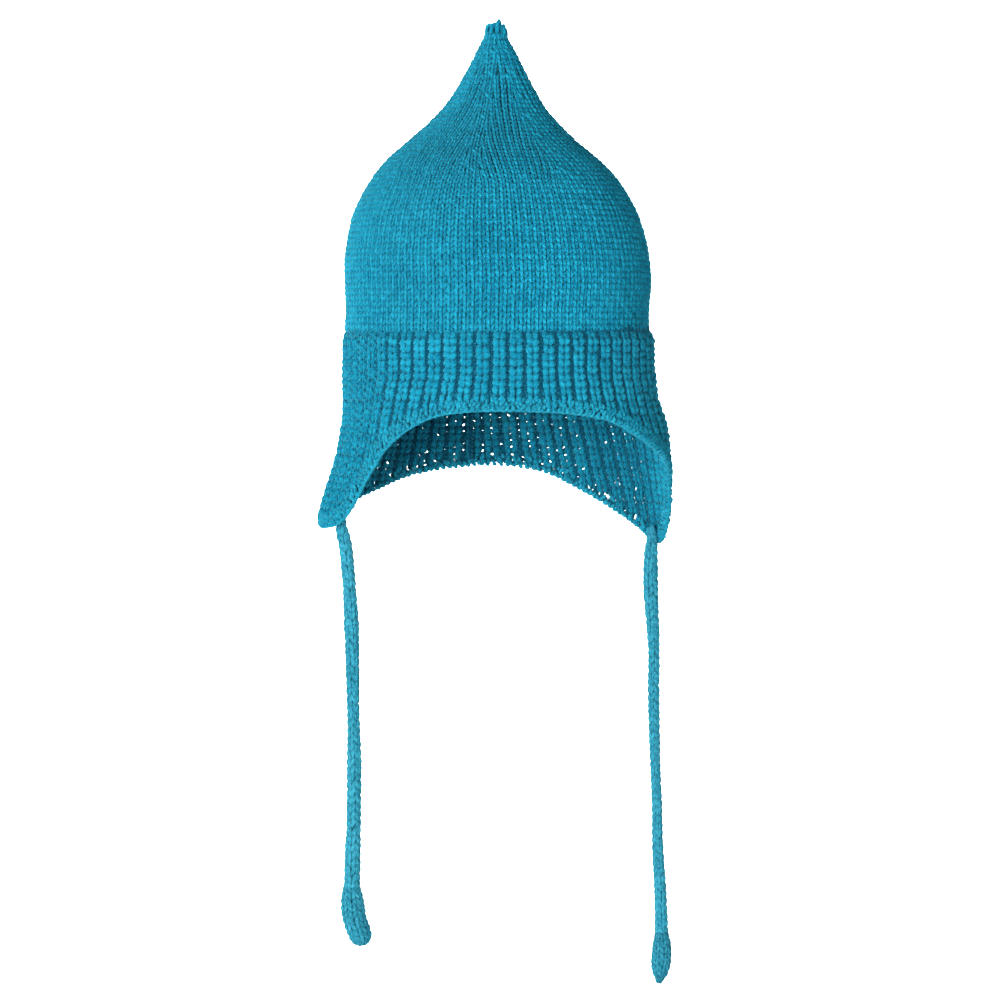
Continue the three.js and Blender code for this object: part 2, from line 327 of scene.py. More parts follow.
PLIES = 3
PATCH_SCALE = 38
FIBRE_SCALE = 1250
SHADE_START = -1.55  # and then what each of these adds to how light the yarn is
TONE_SHARE = 0.5
PATCH_SHARE = 0.8
FIBRE_SHARE = 2.6
PLY_SHARE = 0.25
# How far the fibres fray the edge of the painted shade.
RAGGED_EDGE = 1.3
PLY_HEIGHT = 0.6
RIDGE_SWAY = 0.22
RIDGE_HEIGHT = 2.0
YARN_RELIEF = 0.0006
YARN_FINISH = {
    "Roughness": 0.92,
    "Specular IOR Level": 0.08,
    "Sheen Weight": 0.45,
    "Sheen Roughness": 0.45,
    "Sheen Tint": (0.12, 0.78, 1, 1),
}
TEAL_LIGHT = (0.014, 0.40, 0.59)
TEAL = (0.002, 0.205, 0.345)
# The colour of the painted shade, in the roots of strands and between them.
TEAL_SHADE = (0.0005, 0.066, 0.125)
EDGE_LIGHT = (0.022, 0.42, 0.59)
CORD_LIGHT = (0.062, 0.46, 0.62)
CORD_MIDDLE = (0.018, 0.245, 0.36)
TWIST_LENGTH = 5.2
EDGE_TWIST = 4.6
CORD_TWIST = 4.8


def new_node(tree, kind, **settings):
    node = tree.nodes.new(kind)
    for key, value in settings.items():
        setattr(node, key, value)
    return node


def arithmetic(tree, operation, first, second):
    node = new_node(tree, "ShaderNodeMath", operation=operation)
    for socket, value in zip(node.inputs, (first, second)):
        if isinstance(value, (int, float)):
            socket.default_value = value
        else:
            tree.links.new(value, socket)
    return node.outputs[0]


def mixed(tree, share, first, second, blend="MIX"):
    node = new_node(tree, "ShaderNodeMix", data_type="RGBA", blend_type=blend)
    for socket, value in ((node.inputs[0], share), (node.inputs[6], first), (node.inputs[7], second)):
        if isinstance(value, (int, float, tuple)):
            socket.default_value = value
        else:
            tree.links.new(value, socket)
    return node.outputs[2]


def noise(tree, spot, scale, detail, roughness):
    node = new_node(tree, "ShaderNodeTexNoise")
    for label, value in (("Scale", scale), ("Detail", detail), ("Roughness", roughness)):
        node.inputs[label].default_value = value
    tree.links.new(spot, node.inputs["Vector"])
    return node.outputs[0]


def yarn_group():
    """Plied yarn: twisted plies, loose fibres, painted light on the crests and painted shade in the roots.
    """
    tree = bpy.data.node_groups.new("plied_yarn", "ShaderNodeTree")
    for name, kind, value in (
        ("Light", "NodeSocketColor", (0.05, 0.4, 0.55, 1)),
        ("Middle", "NodeSocketColor", (0.02, 0.3, 0.45, 1)),
        ("Painted shade", "NodeSocketColor", (0.005, 0.1, 0.16, 1)),
        ("Twist length", "NodeSocketFloat", 5.0),
    ):
        socket = tree.interface.new_socket(name=name, in_out="INPUT", socket_type=kind)
        socket.default_value = value
    tree.interface.new_socket(name="Color", in_out="OUTPUT", socket_type="NodeSocketColor")
    tree.interface.new_socket(name="Height", in_out="OUTPUT", socket_type="NodeSocketFloat")
    link = tree.links.new
    given = new_node(tree, "NodeGroupInput")
    put_out = new_node(tree, "NodeGroupOutput")
    tone = new_node(tree, "ShaderNodeAttribute", attribute_name="tone").outputs["Fac"]
    crest = new_node(tree, "ShaderNodeAttribute", attribute_name="crest").outputs["Fac"]
    wrap = new_node(tree, "ShaderNodeUVMap", uv_map="yarn")
    apart = new_node(tree, "ShaderNodeSeparateXYZ")
    link(wrap.outputs[0], apart.inputs[0])
    turns = arithmetic(tree, "DIVIDE", apart.outputs[1], given.outputs["Twist length"])
    phase = arithmetic(tree, "ADD", arithmetic(tree, "MULTIPLY", apart.outputs[0], PLIES), turns)
    wave = arithmetic(tree, "SINE", arithmetic(tree, "MULTIPLY", phase, 2 * math.pi), 0)
    ply = arithmetic(tree, "MULTIPLY", arithmetic(tree, "ADD", wave, 1.0), 0.5)
    spot = new_node(tree, "ShaderNodeTexCoord").outputs["Object"]
    patch = noise(tree, spot, PATCH_SCALE, 2, 0.5)
    fibre = noise(tree, spot, FIBRE_SCALE, 3, 0.65)
    shade = SHADE_START
    for value, share in ((tone, TONE_SHARE), (patch, PATCH_SHARE), (fibre, FIBRE_SHARE), (ply, PLY_SHARE)):
        shade = arithmetic(tree, "ADD", arithmetic(tree, "MULTIPLY", value, share), shade)
    body = mixed(tree, shade, given.outputs["Middle"], given.outputs["Light"])
    # Painted shade: where the painted light, frayed by the fibres, is low, the shade colour is mixed in.
    ragged = arithmetic(tree, "SUBTRACT", fibre, 0.5)
    ragged = arithmetic(tree, "MULTIPLY", ragged, RAGGED_EDGE)
    crest = arithmetic(tree, "ADD", crest, ragged)
    whole = mixed(tree, crest, given.outputs["Painted shade"], body)
    link(whole, put_out.inputs["Color"])
    height = arithmetic(tree, "ADD", arithmetic(tree, "MULTIPLY", ply, PLY_HEIGHT), fibre)
    link(height, put_out.inputs["Height"])
    return tree


YARN = yarn_group()


def purl_ridges(tree):
    """The wavy ridges on the inner face of stocking stitch: one ridge to a row, one wave to a wale."""
    apart = new_node(tree, "ShaderNodeSeparateXYZ")
    tree.links.new(new_node(tree, "ShaderNodeUVMap", uv_map="yarn").outputs[0], apart.inputs[0])
    wale = arithmetic(tree, "MULTIPLY", apart.outputs[0], 2 * math.pi)
    sway = arithmetic(tree, "MULTIPLY", arithmetic(tree, "COSINE", wale, 0), RIDGE_SWAY)
    row = arithmetic(tree, "MULTIPLY", arithmetic(tree, "ADD", apart.outputs[1], sway), 2 * math.pi)
    wave = arithmetic(tree, "MULTIPLY", arithmetic(tree, "COSINE", row, 0), 0.5)
    ridge = arithmetic(tree, "ADD", wave, 0.5)
    return arithmetic(tree, "POWER", ridge, 0.6)


def yarn_material(name, light=TEAL_LIGHT, middle=TEAL, twist=TWIST_LENGTH, purl=False):
    material = bpy.data.materials.new(name)
    material.use_nodes = True
    tree = material.node_tree
    shader = tree.nodes["Principled BSDF"]
    group = new_node(tree, "ShaderNodeGroup", node_tree=YARN)
    for label, value in (("Light", light), ("Middle", middle), ("Painted shade", TEAL_SHADE)):
        group.inputs[label].default_value = (*value, 1)
    group.inputs["Twist length"].default_value = twist
    bump = new_node(tree, "ShaderNodeBump")
    bump.inputs["Strength"].default_value = 0.8
    bump.inputs["Distance"].default_value = YARN_RELIEF
    colour, height = group.outputs["Color"], group.outputs["Height"]
    if purl:
        ridge = purl_ridges(tree)
        # Painted shade in the furrows between the ridges.
        colour = mixed(tree, ridge, (*TEAL_SHADE, 1), colour)
        height = arithmetic(tree, "ADD", height, arithmetic(tree, "MULTIPLY", ridge, RIDGE_HEIGHT))
    tree.links.new(colour, shader.inputs["Base Color"])
    tree.links.new(height, bump.inputs["Height"])
    tree.links.new(bump.outputs[0], shader.inputs["Normal"])
    for label, value in YARN_FINISH.items():
        shader.inputs[label].default_value = value
    return material


stockinette = yarn_material("stockinette_yarn")
stockinette_inside = yarn_material("stockinette_inside", purl=True)
ribbing = yarn_material("ribbing_yarn")
edging = yarn_material("edging_yarn", light=EDGE_LIGHT, twist=EDGE_TWIST)
cord_yarn = yarn_material("cord_yarn", light=CORD_LIGHT, middle=CORD_MIDDLE, twist=CORD_TWIST)


# Ties: knitted cords from inside the flaps to their knobs

TIE_DIAMETER = 6.2
TIE_SEWN_LENGTH = 9
TIE_WALES = 5
TIE_PITCH = 3.85
TIE_STATIONS = 160
TIE_SPREAD = 0.14
FIRST_STITCH = 0.004
LEG_SUNK = 0.62
CORE_GAP = 1.15  # how far the core stays inside the stitches
LEAST_CORE = 0.5
KNOB_WALES = 7
KNOB_PITCH = 3.1
KNOB_STATIONS = 60
KNOB_SPREAD = 0.09
KNOB_CORE_GAP = 1.1
KNOB_NECK = (3, 2.6)  # how far above its first row a knob starts, and its radius there
FULL_KNOB = 5.0
FINE_STEPS = 600
RIGHT_TIE = {
    "azimuth": -84,
    "route": [  # drop below the flap's lowest stitch, towards +X, towards the face
        (-9, 0, 0), (-4.5, 0, 0), (0, 0, 0), (8, 1.8, 0), (25, 3.5, 0.6), (50, 4.9, 1),
        (82, 5.6, 0.4), (115, 6.3, -0.6), (147, 6, -0.4), (164, 5.4, 0), (179, 5, 0.3),
    ],
    "widths": [  # drop, share of the usual diameter
        (-9, 0.35), (-5, 0.62), (4, 1), (32, 1), (40, 1.1), (48, 1.18), (60, 1.12), (72, 1.08),
        (80, 1), (92, 0.93), (104, 0.98), (116, 1.13), (152, 1.14), (160, 1.22), (170, 1.25),
        (179, 1.22),
    ],
    "knob": [  # drop, towards +X, radius
        (178, 5, 3.7), (183, 5.1, 5.1), (190, 5.6, 5.8), (197, 7, 5.7), (202, 8.9, 5.6),
        (206, 9.9, 4.6), (208, 10.2, 1.7),
    ],
    "knob_painted_light": 1.0,
}
LEFT_TIE = {
    "azimuth": 98,
    "route": [
        (-9, 0, 0), (-4.5, 0, 0), (0, 0, 0), (8, -0.4, 0), (22, -0.5, 0.4), (55, 1.1, 0.8),
        (76, 1.1, 0.4), (109, 2, -0.4), (134, 3, -0.2), (155, 3.4, 0), (175, 4.6, 0.2),
        (198, 5.4, 0.2),
    ],
    "widths": [
        (-9, 0.35), (-5, 0.62), (4, 1.05), (10, 1.15), (24, 1.2), (32, 1.12), (40, 1.04), (47, 1.02),
        (54, 0.88), (76, 0.9), (98, 0.85), (116, 0.78), (128, 0.8), (143, 0.83), (158, 0.91),
        (172, 0.93), (188, 0.98), (198, 1.05),
    ],
    "knob": [
        (198, 5.4, 3.2), (203, 5.6, 4.3), (210, 5.4, 4.9), (215, 5, 4.7), (219.5, 4.7, 3.4),
        (223.8, 4, 1.2),
    ],
    # Painted shade: this knob, lower on the viewer's right, is painted darker than the other.
    "knob_painted_light": 0.85,
}


def tie_point(tie, drop, aside, forward):
    sewn = edge_height(tie["azimuth"]) + TIE_SEWN_LENGTH
    hang = band_face(tie["azimuth"], sewn) - BAND_WALL - YARN_GAP - TIE_DIAMETER / 2
    point = place(tie["azimuth"], hang, edge_height(tie["azimuth"]) - drop)
    return point + np.array([aside, -forward, 0])


def along_line(where, keys, line):
    return np.stack([np.interp(where, keys, line[:, axis]) for axis in range(3)], -1)


def curve_through(points, count):
    """Points evenly spaced along a smooth line through these points."""
    points = np.array(points, float)
    steps = np.linalg.norm(np.diff(points, axis=0), axis=1)
    reach = np.concatenate([[0], np.cumsum(steps)])
    rise = np.diff(points, axis=0) / steps[:, None]
    slope = np.concatenate([rise[:1], (rise[1:] + rise[:-1]) / 2, rise[-1:]])
    fine = np.linspace(0, reach[-1], FINE_STEPS)
    i = np.clip(np.searchsorted(reach, fine, side="right") - 1, 0, len(reach) - 2)
    gap = (reach[i + 1] - reach[i])[:, None]
    t = (fine - reach[i])[:, None] / gap
    line = eased(t, gap, points[i], points[i + 1], slope[i], slope[i + 1])
    steps = np.linalg.norm(np.diff(line, axis=0), axis=1)
    reach = np.concatenate([[0], np.cumsum(steps)])
    return along_line(np.linspace(0, reach[-1], count), reach, line), reach[-1]


def sleeve(line, radius_at):
    """A way to lay stitches round a line: a share along it, an angle round it, out from its radius."""
    count = len(line)
    along = unit(np.gradient(line, axis=0))
    side = np.empty_like(line)
    side[0] = unit(np.cross(along[0], [0, 1, 0]))
    for i in range(1, count):
        side[i] = unit(side[i - 1] - along[i] * (side[i - 1] @ along[i]))
    front = np.cross(along, side)

    def at(share, angle, out):
        where = np.clip(share, 0, 1) * (count - 1)
        centre, lateral, facing = (along_line(where, np.arange(count), row) for row in (line, side, front))
        turn = np.radians(angle)[..., None]
        outward = np.cos(turn) * lateral + np.sin(turn) * facing
        return centre + outward * (radius_at(share) + out)[..., None], outward

    return at


def vee_legs(table, side, across, up, spread):
    """One half of a knit stitch: where each station of its leg lies, for every stitch."""
    across = across[:, None] + side * table[:, 0]
    across = across + side * jitter(len(across), spread)[:, None]
    up = up[:, None] + table[:, 1] + jitter(len(up), 2 * spread)[:, None]
    return across, up


def stitch_grid(rows, columns):
    """The row and the column of every stitch."""
    row, column = np.meshgrid(rows, columns, indexing="ij")
    return row.reshape(-1).astype(float), column.reshape(-1).astype(float)


KNIT_LEG = np.array([  # across in stitches, up in rows, out, half width, half thickness
    (0.11, -0.28, -0.65, 0.58, 0.52),
    (0.18, 0.12, -0.02, 0.88, 0.80),
    (0.255, 0.50, 0.22, 0.99, 0.85),
    (0.32, 0.88, 0.00, 0.90, 0.80),
    (0.37, 1.28, -0.65, 0.60, 0.52),
])
# Painted light along a leg: painted shade at its sunken ends.
KNIT_PAINTED_LIGHT = np.array([0.2, 0.7, 1, 0.7, 0.2])
TIE_LEG = np.array([
    (0.03, -0.42, -0.85, 0.62, 0.55),
    (0.12, 0.06, -0.02, 0.92, 0.80),
    (0.24, 0.50, 0.28, 1.00, 0.88),
    (0.36, 0.94, 0.02, 0.90, 0.80),
    (0.44, 1.40, -0.85, 0.62, 0.55),
])
# Painted light along a tie's leg: painted shade at its sunken ends.
TIE_PAINTED_LIGHT = np.array([0.05, 0.75, 1.0, 0.75, 0.05])


def tie_stitches(strands, at, radius, length, turn):
    rows = int(round(length * (1 - FIRST_STITCH) / TIE_PITCH))
    row, wale = stitch_grid(np.arange(rows), np.arange(TIE_WALES))
    for side in (-1, 1):
        across, up = vee_legs(TIE_LEG, side, wale, row, TIE_SPREAD)
        share = FIRST_STITCH + up * TIE_PITCH / length
        angle = across * 360 / TIE_WALES + turn * share
        lines, out = at(share, angle, TIE_LEG[:, 2] - LEG_SUNK)
        wide = TIE_LEG[:, 3] * radius(share) * 2 / TIE_DIAMETER
        strands.add(lines, out, wide, TIE_LEG[:, 4], crest=TIE_PAINTED_LIGHT)


def knitted_core(strands, line, radius, gap, sides):
    """The middle of a knitted cord, which closes it behind its stitches, painted dark in shade."""
    line = line[None]
    facing = np.tile(np.array([0.0, -1.0, 0.0]), (1, line.shape[1], 1))
    thick = np.maximum(radius(np.linspace(0, 1, line.shape[1])) - gap, LEAST_CORE)
    strands.add(line, facing, thick, thick, sides, crest=0.1)


def make_tie(name, tie, turn):
    stops = [tie_point(tie, *stop) for stop in tie["route"]]
    line, length = curve_through(stops, TIE_STATIONS)
    drops, widths = zip(*tie["widths"])

    def radius(share):
        return TIE_DIAMETER / 2 * np.interp(share * length - TIE_SEWN_LENGTH, drops, widths)

    strands = Strands()
    tie_stitches(strands, sleeve(line, radius), radius, length, turn)
    knitted_core(strands, line[::4], radius, CORE_GAP, 10)
    cord = strands.make(f"{name}_cord", cord_yarn)
    knob = make_knob(name, tie, turn)
    dress(cord, "knitted_cord", name)


def make_knob(name, tie, turn):
    first_drop, first_aside, _ = tie["knob"][0]
    above, neck = KNOB_NECK
    sections = [(first_drop - above, first_aside, neck)] + tie["knob"]
    stops = [tie_point(tie, drop + YARN_GAP, aside, 0) for drop, aside, _ in sections]
    line, length = curve_through(stops, KNOB_STATIONS)
    drops = np.array([section[0] for section in sections], float)
    radius = through((drops - drops[0]) / (drops[-1] - drops[0]), [section[2] for section in sections])
    at = sleeve(line, radius)
    strands = Strands()
    rows = int(round(length / KNOB_PITCH))
    row, wale = stitch_grid(np.arange(rows), np.arange(KNOB_WALES))
    crest = TIE_PAINTED_LIGHT * tie["knob_painted_light"]
    for side in (-1, 1):
        across, up = vee_legs(TIE_LEG, side, wale, row, KNOB_SPREAD)
        share = up / rows
        squeeze = np.clip(radius(share) / FULL_KNOB, 0.35, 1.1)
        lines, out = at(share, across * 360 / KNOB_WALES + turn, TIE_LEG[:, 2] - LEG_SUNK)
        strands.add(lines, out, TIE_LEG[:, 3] * squeeze, TIE_LEG[:, 4], crest=crest)
    knitted_core(strands, line[::3], radius, KNOB_CORE_GAP, 12)
    knob = strands.make(f"{name}_knitted_end", cord_yarn)
    return dress(knob, "knitted_cord", f"{name}_knob")


make_tie("left_tie", LEFT_TIE, 60)
make_tie("right_tie", RIGHT_TIE, -80)


# Crown: stocking stitch, drawn in at eight lines

CROWN_ROW = 2.85
GORES = 8
GORE_WALES = 15
FIRST_GORE = 3.6
GORE_ANGLE = 360 / GORES
CREST_DEPTH = 1.1
USUAL_WALE = 3.8
KNIT_SPREAD = 0.09
STITCH_SIZES = 0.22  # how much the stitches differ in size
STITCH_LIFT = 0.4  # and in how far they stand out
TONE_SPREAD = 0.5
LEG_TWIST_AND_SHADE = 0.22  # how much darker a stitch's right leg is than its left: the yarn's twist, and painted shade from light on the left
ROW_DRIFT = 0.12
TUCKED = 1.6
PROFILE_STEPS = 1500
LINING_DEPTH = 1.75
LINING_STEP = 50
LINING_TOP = 187
HOLLOW_TOP = 176
LINING_TURNS = 96
WALES = [  # height, wales across a gore there, at their full width
    (110, 15), (118.3, 14), (127.6, 12), (136, 10), (145.5, 8), (156.3, 6), (167.5, 4),
    (178.5, 2), (188, 1.8),
]
MEETING = [  # how far a wale is from the one along the gore's edge, and how far it is drawn over
    (0.5, 0.55), (1.5, 1.22), (2.5, 2.32), (3.5, 3.42), (5, 5), (9, 9),
]

heights = np.linspace(CROWN_FOOT, CROWN_TOP, PROFILE_STEPS)
radii = crown_radius(heights)
stretch = np.concatenate([[0], np.cumsum(np.hypot(np.diff(heights), np.diff(radii)))])
profile_along = unit(np.stack([np.gradient(radii), np.gradient(heights)], -1))
CROWN_REACH = stretch[-1]
wales_up = through(*zip(*WALES))
drawn_over = through(*zip(*MEETING))


def wales_at(reach):
    """How many wales of full width a gore has room for at this reach up the crown."""
    return wales_up(np.interp(reach, stretch, heights))


def drawn_in(offset, wales):
    """Where a wale runs: straight up, until it comes to the wale along its gore's edge."""
    edge = wales / 2 - 0.5
    away = np.maximum(edge - np.abs(offset), 0.5)
    drawn = np.clip((GORE_WALES - wales) / 0.8, 0, 1)
    inner = np.sign(offset) * (edge - away - drawn * (drawn_over(away) - away))
    along_edge = np.abs(offset) > (GORE_WALES - 1) / 2 - 0.1
    return np.where(along_edge, np.sign(offset) * edge, inner)


def crown_at(reach, azimuth, out):
    """A point on the crown: how far up its wall, where round it, and how far out from it."""
    height = np.interp(reach, stretch, heights)
    radius = np.interp(reach, stretch, radii)
    along_r = np.interp(reach, stretch, profile_along[:, 0])
    along_z = np.interp(reach, stretch, profile_along[:, 1])
    below = np.minimum(reach, 0)
    above = np.maximum(reach - CROWN_REACH, 0)
    away = radius + out * along_z + above * along_r
    point = place(azimuth, away, height - out * along_r + below + above * along_z)
    point[..., 0] += crown_lean(height)
    turn = np.radians(azimuth)
    outward = np.stack([along_z * np.sin(turn), -along_z * np.cos(turn), -along_r], -1)
    return point, outward


def crown_gore(strands, middle):
    rows = int(CROWN_REACH / CROWN_ROW) + 1
    half = (GORE_WALES - 1) / 2
    row, offset = stitch_grid(np.arange(-1, rows - 1), np.arange(GORE_WALES) - half)
    room = wales_at((row + 0.8) * CROWN_ROW) / 2 - 0.5
    kept = (np.abs(offset) < room - 0.46) | (np.abs(offset) > half - 0.1) | (room > half - 0.1)
    row, offset = row[kept], offset[kept]
    drift = np.cumsum(jitter(GORE_WALES, ROW_DRIFT))
    drift = drift - drift.mean()
    row = row + drift[np.round(offset + half).astype(int)] * np.clip(row / 4, 0, 1)
    size = 1 + jitter(len(row), STITCH_SIZES)
    lift = jitter(len(row), STITCH_LIFT)
    tone = draws.random(len(row))
    for side in (-1, 1):
        across, up = vee_legs(KNIT_LEG, side, 0 * offset, row, KNIT_SPREAD)
        reach = up * CROWN_ROW
        wales = wales_at(reach)
        wale = drawn_in(offset[:, None] + 0 * reach, wales)
        limit = wales / 2 - 0.2
        across = np.clip(wale + across, -limit, limit)
        azimuth = middle + across * GORE_ANGLE / wales
        tucked = TUCKED * np.clip(-reach / CROWN_ROW, 0, 1)
        depth = KNIT_LEG[:, 2] - CREST_DEPTH + lift[:, None] - tucked - 0.1 * side
        lines, out = crown_at(reach, azimuth, depth)
        own_tone = np.clip(tone - LEG_TWIST_AND_SHADE * side + jitter(len(row), TONE_SPREAD), 0, 1)
        room = 2 * np.pi * np.interp(reach, stretch, radii) / GORES / wales
        wide = KNIT_LEG[:, 3] * size[:, None] * np.clip(room / USUAL_WALE, 0.4, 1.1)
        # The right leg is also painted darker: painted shade, with the light from the left. Its roots keep
        # more painted light here.
        crest = KNIT_PAINTED_LIGHT - 0.07 * side
        strands.add(lines, out, wide, KNIT_LEG[:, 4], tone=own_tone, crest=crest, root=0.3)


def decreases(strands, middle):
    """The slanted stitches where a wale runs into the one along its gore's edge."""
    table = np.array([  # across in wales, up in rows, out, half width
        (-0.5, 0.6, -0.55, 0.5), (-0.2, 0.25, 0.4, 0.85), (0.2, -0.25, 0.4, 0.85),
        (0.5, -0.6, -0.55, 0.5),
    ])
    meetings = np.interp([row[0] for row in WALES[1:-1]], heights, stretch)
    reach = meetings[:, None] + table[:, 1] * CROWN_ROW
    azimuth = middle + GORE_ANGLE / 2 + table[:, 0] * GORE_ANGLE / wales_at(reach)
    lines, out = crown_at(reach, azimuth, table[:, 2] - CREST_DEPTH + 0.25)
    # These raised stitches get the lightest tone and full painted light: a painted highlight.
    strands.add(lines, out, table[:, 3], table[:, 3] * 0.85, tone=np.ones(len(reach)), crest=1.0)


for number in range(GORES // 2):
    middle = FIRST_GORE + 2 * number * GORE_ANGLE
    stitches = Strands()
    for shift in (0, GORE_ANGLE):
        crown_gore(stitches, middle + shift)
        decreases(stitches, middle + shift)
    made = stitches.make(f"crown_stitches_{number + 1}", stockinette)
    dress(made, "stockinette", "crown")


def yarn_sheet(bm, name, crest, material):
    """A plain sheet of the same yarn, behind the stitches, painted evenly with the painted light given."""
    mesh = bpy.data.meshes.new(name)
    bm.to_mesh(mesh)
    bm.free()
    mesh.shade_smooth()
    for label, value in (("tone", 0.5), ("crest", crest)):
        layer = mesh.attributes.new(label, "FLOAT", "POINT")
        layer.data.foreach_set("value", np.full(len(mesh.vertices), value, np.float32))
    mesh.uv_layers.new(name="yarn")
    mesh.materials.append(material)
    return linked(name, mesh)


def crown_lining():
    """The knitted wall behind the stitches' crests, closed, with its inner face."""
    along = profile_along[::LINING_STEP]
    outside, inside = (
        list(zip(radii[::LINING_STEP] - depth * along[:, 1], heights[::LINING_STEP] + depth * along[:, 0]))
        for depth in (LINING_DEPTH, CROWN_WALL)
    )
    inside = [(r, h) for r, h in inside if h < HOLLOW_TOP]
    outside = [(r, min(h, LINING_TOP)) for r, h in outside]
    profile = [(0, outside[-1][1])] + outside[::-1] + inside + [(0, inside[-1][1])]
    bm = bmesh.new()
    corners = [bm.verts.new((r * MM, 0, h * MM)) for r, h in profile]
    edges = [bm.edges.new(pair) for pair in zip(corners, corners[1:])]
    bmesh.ops.spin(
        bm,
        geom=corners + edges,
        cent=(0, 0, 0),
        axis=(0, 0, 1),
        angle=2 * math.pi,
        steps=LINING_TURNS,
        use_merge=True,
    )
    bmesh.ops.remove_doubles(bm, verts=bm.verts, dist=1e-5)
    for vert in bm.verts:
        vert.co.x += float(crown_lean(vert.co.z / MM)) * MM
    bmesh.ops.recalc_face_normals(bm, faces=bm.faces)
    fabric = yarn_sheet(bm, "crown_fabric", 0.4, stockinette_inside)
    lay_rows(fabric.data)
    return fabric


def lay_rows(mesh):
    """Lays the wales and rows of the knitting over the crown's wall.
    Its outer face, behind the stitches, is painted in shade, and its inner face painted lighter.
    """
    spots = np.empty(3 * len(mesh.vertices))
    mesh.vertices.foreach_get("co", spots)
    spots = spots.reshape(-1, 3) / MM
    spots[:, 0] -= crown_lean(spots[:, 2])
    away = np.hypot(spots[:, 0], spots[:, 1])
    inner = away < np.interp(spots[:, 2], heights, radii) - 2.3
    # Painted shade on the outer face, seen between the stitches; painted light on the inner face.
    mesh.attributes["crest"].data.foreach_set("value", np.where(inner, 0.9, 0.4).astype(np.float32))
    azimuth = np.degrees(np.arctan2(spots[:, 0], -spots[:, 1]))
    rows = np.interp(spots[:, 2], heights, stretch) / CROWN_ROW
    layer = mesh.uv_layers["yarn"].data
    for polygon in mesh.polygons:
        corners = [(loop, mesh.loops[loop].vertex_index) for loop in polygon.loop_indices]
        on_wall = [vertex for _, vertex in corners if away[vertex] > 1]
        for loop, vertex in corners:
            turn = azimuth[vertex] if away[vertex] > 1 else azimuth[on_wall[0]]
            turn = azimuth[on_wall[0]] + wrapped(turn - azimuth[on_wall[0]])
            layer[loop].uv = (turn * GORES * GORE_WALES / 360, rows[vertex])


crown_fabric = dress(crown_lining(), "stockinette", "crown")


# Tip: the last stitches, drawn together into a ragged tuft

TIP_FOOT = 186.5
TIP_CORE = [(184, 4.2), (186, 4), (188.5, 3.3), (190.2, 2.2)]  # height, radius
TUFT = [  # azimuth, top of the loop, how far it stands from the axis
    (-62, 192.0, 4.6), (-24, 192.3, 4.2), (18, 194.0, 3.9), (60, 191.7, 4.9), (104, 190.3, 5.2),
    (152, 193.0, 4.2), (-158, 191.6, 4.4), (-108, 190.8, 4.6),
]


def tip_tuft():
    strands = Strands()
    azimuth = np.array([row[0] for row in TUFT], float)[:, None]
    top = np.array([row[1] for row in TUFT], float)[:, None]
    stand = np.array([row[2] for row in TUFT], float)[:, None]
    table = np.array([  # share of the way up, turn, share of the stand, half width
        (0.0, -16, 1.05, 0.95), (0.45, -13, 1.06, 1.1), (0.85, -8, 1.0, 1.1), (0.97, 6, 0.85, 1.0),
        (0.85, 22, 0.75, 1.05), (0.4, 26, 0.9, 1.0), (-0.1, 24, 0.95, 0.8),
    ])
    height = TIP_FOOT + table[:, 0] * (top - TIP_FOOT) * 1.04
    turned = azimuth + table[:, 1]
    lines = place(turned, stand * table[:, 2], height)
    lines[..., 0] += crown_lean(CROWN_TOP)
    strands.add(lines, around(turned), table[:, 3], table[:, 3] * 0.9, sides=6, crest=0.9)
    height, radius = np.array(TIP_CORE).T
    front = np.zeros((1, len(height)))
    core = place(front, 0, height[None])
    core[..., 0] += crown_lean(CROWN_TOP)
    # The core between the loops is painted dark: painted shade.
    strands.add(core, around(front), radius, radius, sides=10, crest=0.15)
    return strands


tuft = dress(tip_tuft().make("tip_tuft", stockinette), "stockinette", "tip_gather")


# Band: single ribbing, loop by loop

BAND_COLUMNS = 120
BAND_ROW = 3.4
FIRST_COLUMN = 0.6
BAND_MIDDLE = 2.1
HALF_LOOP = np.array([  # across in columns, up in rows, out, half width, half thickness
    (0.00, 1.20, -0.60, 0.75, 0.60),
    (0.25, 1.12, -0.25, 1.00, 0.70),
    (0.45, 0.84, 0.65, 1.36, 0.88),
    (0.43, 0.50, 1.20, 1.74, 1.05),
    (0.36, 0.16, 0.65, 1.36, 0.88),
    (0.30, -0.12, -0.25, 1.00, 0.70),
    (0.50, -0.18, -0.10, 0.75, 0.60),
])
# Painted light along a half loop: painted shade at its ends, between the rows.
LOOP_PAINTED_LIGHT = np.array([0.05, 0.3, 0.82, 1, 0.82, 0.3, 0.05])
RIB_FADE = 9.5
COLUMN_ANGLE = 360 / BAND_COLUMNS
MOST_ROWS = 34
UPPER_ROWS = 10
BAND_ROW_DRIFT = 0.3
OPEN_LOOPS = [  # azimuth, share of the loops there that let light through
    (110, 0.04), (128, 0.12), (141, 0.3), (149, 0.9), (167, 0.97), (174, 0.7), (192, 0.65),
    (205, 0.4), (222, 0.15),
]
FILLED_FROM = 108
FILLED_TO = 246
LEAST_FILLED = 0.71
WEB_ENDS = (-124, 116)
WEB_COLUMNS = 129
WEB_ROWS = 18
WEB_HALF = 0.35


def at_back(azimuth):
    """One at the back of the hat, where the ribbing is thin, and none at its front and sides."""
    return np.interp(azimuth % 360, [100, 122, 238, 255], [0, 1, 1, 0])


def over_ear(azimuth):
    """How far the ribbing is pulled flat on the flaps."""
    turns = [-135, -112, -64, -42, 62, 85, 115, 135]
    return np.interp(wrapped(azimuth), turns, [0, 0.85, 0.85, 0, 0, 0.4, 0.4, 0])


